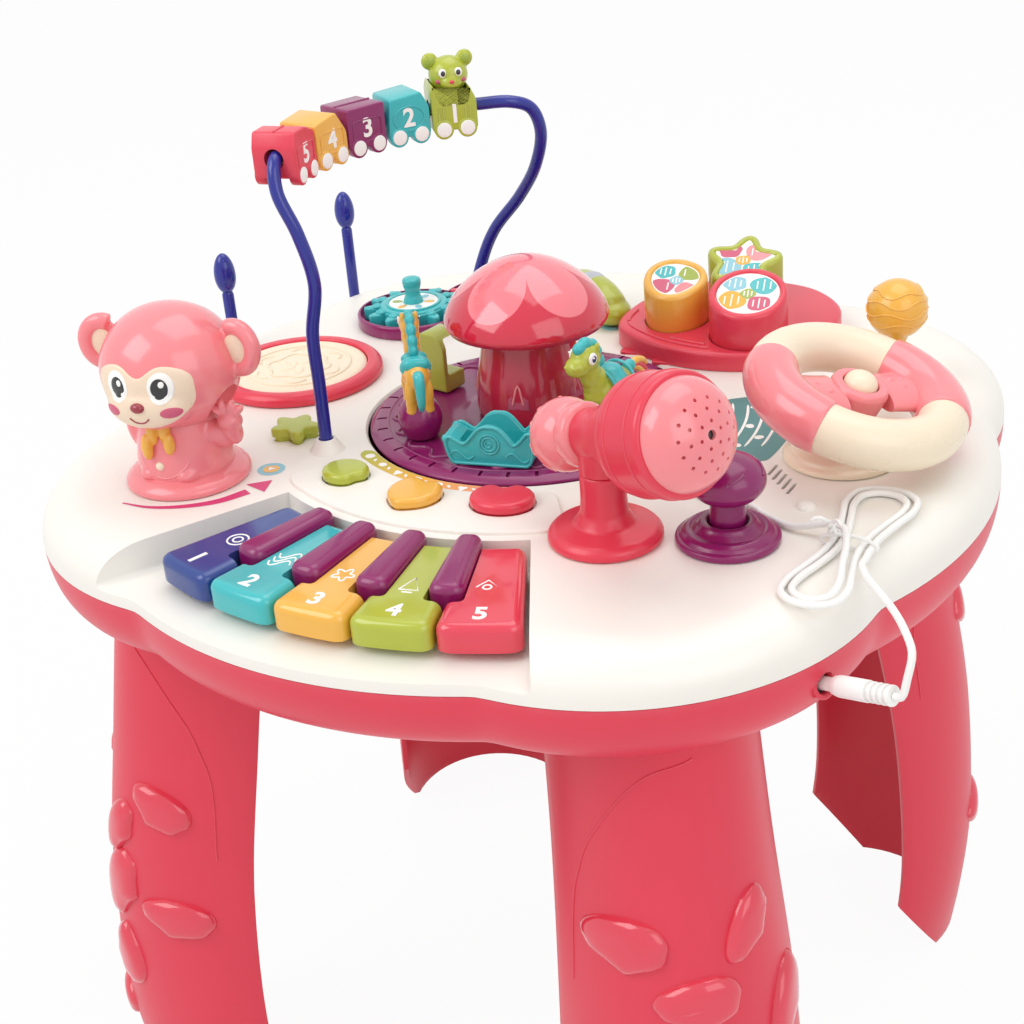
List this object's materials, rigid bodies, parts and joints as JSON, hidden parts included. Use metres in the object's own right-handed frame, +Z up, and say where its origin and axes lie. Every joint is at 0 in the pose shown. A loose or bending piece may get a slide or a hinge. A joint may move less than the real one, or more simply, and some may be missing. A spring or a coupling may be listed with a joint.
{
  "type": "musical activity table",
  "caption": "Lobed play table on moulded legs, with a gear-driven carousel and figure, wagons on a wire arch, piano keys, wheel, levers, drum, gears and shape board.",
  "frame": {"origin": "on the floor, under the middle of the table", "axes": "+Z up; the piano keys face -Y, the steering wheel is on the +X side, the shape board at +Y and the drum at -X"},
  "size_m": [0.4453, 0.4342, 0.5112],
  "materials": {
    "white_plastic": "satin warm white",
    "red_plastic": "semi-gloss coral red",
    "pink_plastic": "semi-gloss pink",
    "cream_plastic": "satin cream",
    "purple_plastic": "glossy purple",
    "teal_plastic": "semi-gloss teal",
    "blue_plastic": "glossy dark blue",
    "yellow_plastic": "semi-gloss warm yellow",
    "lime_plastic": "semi-gloss lime green",
    "clear_red": "slightly translucent red",
    "dark_plastic": "dull black",
    "board_green": "circuit board lacquer",
    "cable_white": "soft white cable sleeve"
  },
  "bodies": {
    "table": {"top_shell": "white_plastic", "base_shell": "red_plastic", "leg_front_left": "red_plastic", "leg_front_right": "red_plastic", "leg_rear_right": "red_plastic", "leg_rear_left": "red_plastic", "battery_door": "red_plastic", "speaker": "dark_plastic", "circuit_board": "board_green", "charge_socket": "dark_plastic", "drum_ring": "red_plastic", "bead_arch": "blue_plastic", "gear_tray": "purple_plastic", "shape_board": "red_plastic", "steering_column": "cream_plastic", "microphone_post": "red_plastic", "joystick_base": "purple_plastic", "short_keys": "purple_plastic", "cable_plug": "cable_white", "cable_lead": "cable_white", "cable_hank": "cable_white", "cable_far_plug": "cable_white"},
    "carousel": {"turntable": "purple_plastic", "mushroom_stem": "red_plastic", "mushroom_cap": "clear_red", "carousel_horse": "yellow_plastic", "carousel_sleigh": "teal_plastic", "carousel_pony": "lime_plastic", "carousel_seat": "lime_plastic"},
    "idler": {"idler_gear": "white_plastic"},
    "monkey": {"monkey_body": "pink_plastic", "monkey_head": "pink_plastic"},
    "drum": {"drum_pad": "cream_plastic"},
    "teal_gear": {"toy_gear_teal": "teal_plastic"},
    "red_gear": {"toy_gear_red": "red_plastic"},
    "handset": {"phone_handset": "lime_plastic"},
    "wheel": {"steering_wheel": "cream_plastic"},
    "horn": {"horn_button": "cream_plastic"},
    "lever": {"shift_lever": "yellow_plastic"},
    "microphone": {"microphone_head": "red_plastic"},
    "stick": {"joystick": "purple_plastic"},
    "stick_left": {"drumstick_left": "blue_plastic"},
    "stick_right": {"drumstick_right": "blue_plastic"},
    "block_egg_body": {"block_egg": "yellow_plastic"},
    "block_star_body": {"block_star": "lime_plastic"},
    "block_round_body": {"block_round": "red_plastic"},
    "push_clover": {"button_clover": "lime_plastic"},
    "push_pear": {"button_pear": "lime_plastic"},
    "push_heart": {"button_heart": "yellow_plastic"},
    "push_cherry": {"button_cherry": "red_plastic"},
    "piano_key_1": {"key_1": "blue_plastic"},
    "piano_key_2": {"key_2": "teal_plastic"},
    "piano_key_3": {"key_3": "yellow_plastic"},
    "piano_key_4": {"key_4": "lime_plastic"},
    "piano_key_5": {"key_5": "red_plastic"},
    "train_1": {"wagon_1": "lime_plastic"},
    "train_2": {"wagon_2": "teal_plastic"},
    "train_3": {"wagon_3": "purple_plastic"},
    "train_4": {"wagon_4": "yellow_plastic"},
    "train_5": {"wagon_5": "red_plastic"}
  },
  "joints": [
    {"name": "carousel_turn", "type": "hinge", "parent": "table", "child": "carousel", "pos_m": [0, 0, 0.35], "axis": [0, 0, 1], "continuous": true},
    {"name": "idler_turn", "type": "hinge", "parent": "table", "child": "idler", "pos_m": [-0.06788, -0.06788, 0.32], "axis": [0, 0, 1], "continuous": true},
    {"name": "monkey_turn", "type": "hinge", "parent": "table", "child": "monkey", "pos_m": [-0.11597, -0.11597, 0.32], "axis": [0, 0, 1], "continuous": true},
    {"name": "teal_gear_turn", "type": "hinge", "parent": "table", "child": "teal_gear", "pos_m": [-0.12239, 0.08844, 0.35], "axis": [0, 0, 1], "continuous": true},
    {"name": "red_gear_turn", "type": "hinge", "parent": "table", "child": "red_gear", "pos_m": [-0.08844, 0.12239, 0.35], "axis": [0, 0, 1], "continuous": true},
    {"name": "drum_press", "type": "slide", "parent": "table", "child": "drum", "axis": [0, 0, -1], "range_m": [0, 0.002], "stiffness_N_per_m": 600, "springref_m": -0.002},
    {"name": "press_clover", "type": "slide", "parent": "table", "child": "push_clover", "axis": [0, 0, -1], "range_m": [0, 0.002], "stiffness_N_per_m": 300, "springref_m": -0.002},
    {"name": "press_pear", "type": "slide", "parent": "table", "child": "push_pear", "axis": [0, 0, -1], "range_m": [0, 0.002], "stiffness_N_per_m": 300, "springref_m": -0.002},
    {"name": "press_heart", "type": "slide", "parent": "table", "child": "push_heart", "axis": [0, 0, -1], "range_m": [0, 0.002], "stiffness_N_per_m": 300, "springref_m": -0.002},
    {"name": "press_cherry", "type": "slide", "parent": "table", "child": "push_cherry", "axis": [0, 0, -1], "range_m": [0, 0.002], "stiffness_N_per_m": 300, "springref_m": -0.002},
    {"name": "key_1_press", "type": "hinge", "parent": "table", "child": "piano_key_1", "pos_m": [-0.04309, -0.13036, 0.3353], "axis": [0.9495, -0.3138, 0], "range_deg": [0, 2.5], "stiffness_Nm_per_rad": 0.4, "springref_deg": -2.86},
    {"name": "key_2_press", "type": "hinge", "parent": "table", "child": "piano_key_2", "pos_m": [-0.01928, -0.13594, 0.3353], "axis": [0.9901, -0.1404, 0], "range_deg": [0, 2.5], "stiffness_Nm_per_rad": 0.4, "springref_deg": -2.86},
    {"name": "key_3_press", "type": "hinge", "parent": "table", "child": "piano_key_3", "pos_m": [0.00515, -0.1372, 0.3353], "axis": [0.9993, 0.0375, 0], "range_deg": [0, 2.5], "stiffness_Nm_per_rad": 0.4, "springref_deg": -2.86},
    {"name": "key_4_press", "type": "hinge", "parent": "table", "child": "piano_key_4", "pos_m": [0.02941, -0.13411, 0.3353], "axis": [0.9768, 0.2142, 0], "range_deg": [0, 2.5], "stiffness_Nm_per_rad": 0.4, "springref_deg": -2.86},
    {"name": "key_5_press", "type": "hinge", "parent": "table", "child": "piano_key_5", "pos_m": [0.05274, -0.12677, 0.3353], "axis": [0.9233, 0.3841, 0], "range_deg": [0, 2.5], "stiffness_Nm_per_rad": 0.4, "springref_deg": -2.86},
    {"name": "wheel_turn", "type": "hinge", "parent": "table", "child": "wheel", "pos_m": [0.158, 0.005, 0.38], "axis": [0.309, 0, 0.9511], "range_deg": [-90, 90]},
    {"name": "horn_press", "type": "slide", "parent": "wheel", "child": "horn", "axis": [-0.309, 0, -0.9511], "range_m": [0, 0.002], "stiffness_N_per_m": 300, "springref_m": -0.002},
    {"name": "lever_rock", "type": "hinge", "parent": "table", "child": "lever", "pos_m": [0.15, 0.084, 0.342], "axis": [1, 0, 0], "range_deg": [-20, 20]},
    {"name": "microphone_swivel", "type": "hinge", "parent": "table", "child": "microphone", "pos_m": [0.089, -0.101, 0.38], "axis": [0, 0, 1], "range_deg": [-35, 10]},
    {"name": "joystick_rock", "type": "hinge", "parent": "table", "child": "stick", "pos_m": [0.136, -0.085, 0.36], "axis": [1, 0, 0], "range_deg": [-12, 12]},
    {"name": "drumstick_left_lift", "type": "slide", "parent": "table", "child": "stick_left", "axis": [0, 0, 1], "range_m": [0, 0.06]},
    {"name": "drumstick_right_lift", "type": "slide", "parent": "table", "child": "stick_right", "axis": [0, 0, 1], "range_m": [0, 0.06]},
    {"name": "handset_lift", "type": "slide", "parent": "table", "child": "handset", "axis": [0, 0, 1], "range_m": [0, 0.04]},
    {"name": "block_egg_lift", "type": "slide", "parent": "table", "child": "block_egg_body", "axis": [0.0135, -0.0506, 0.9986], "range_m": [0, 0.02]},
    {"name": "block_star_lift", "type": "slide", "parent": "table", "child": "block_star_body", "axis": [0.0135, -0.0506, 0.9986], "range_m": [0, 0.02]},
    {"name": "block_round_lift", "type": "slide", "parent": "table", "child": "block_round_body", "axis": [0.0135, -0.0506, 0.9986], "range_m": [0, 0.02]},
    {"name": "wagon_5_slide", "type": "hinge", "parent": "table", "child": "train_5", "pos_m": [0.01, -0.038, 0.485], "axis": [0, 0, -1], "range_deg": [0, 2]},
    {"name": "wagon_4_slide", "type": "hinge", "parent": "train_5", "child": "train_4", "pos_m": [0.01, -0.038, 0.485], "axis": [0, 0, -1], "range_deg": [0, 1.5]},
    {"name": "wagon_3_slide", "type": "hinge", "parent": "train_4", "child": "train_3", "pos_m": [0.01, -0.038, 0.485], "axis": [0, 0, -1], "range_deg": [0, 1.5]},
    {"name": "wagon_2_slide", "type": "hinge", "parent": "train_3", "child": "train_2", "pos_m": [0.01, -0.038, 0.485], "axis": [0, 0, -1], "range_deg": [0, 1.5]},
    {"name": "wagon_1_slide", "type": "hinge", "parent": "train_2", "child": "train_1", "pos_m": [0.01, -0.038, 0.485], "axis": [0, 0, -1], "range_deg": [0, 1.5]}
  ],
  "couplings": [
    {"joint": "idler_turn", "follows": "carousel_turn", "ratio": -3},
    {"joint": "monkey_turn", "follows": "carousel_turn", "ratio": 1.6364},
    {"joint": "red_gear_turn", "follows": "teal_gear_turn", "ratio": -1}
  ]
}
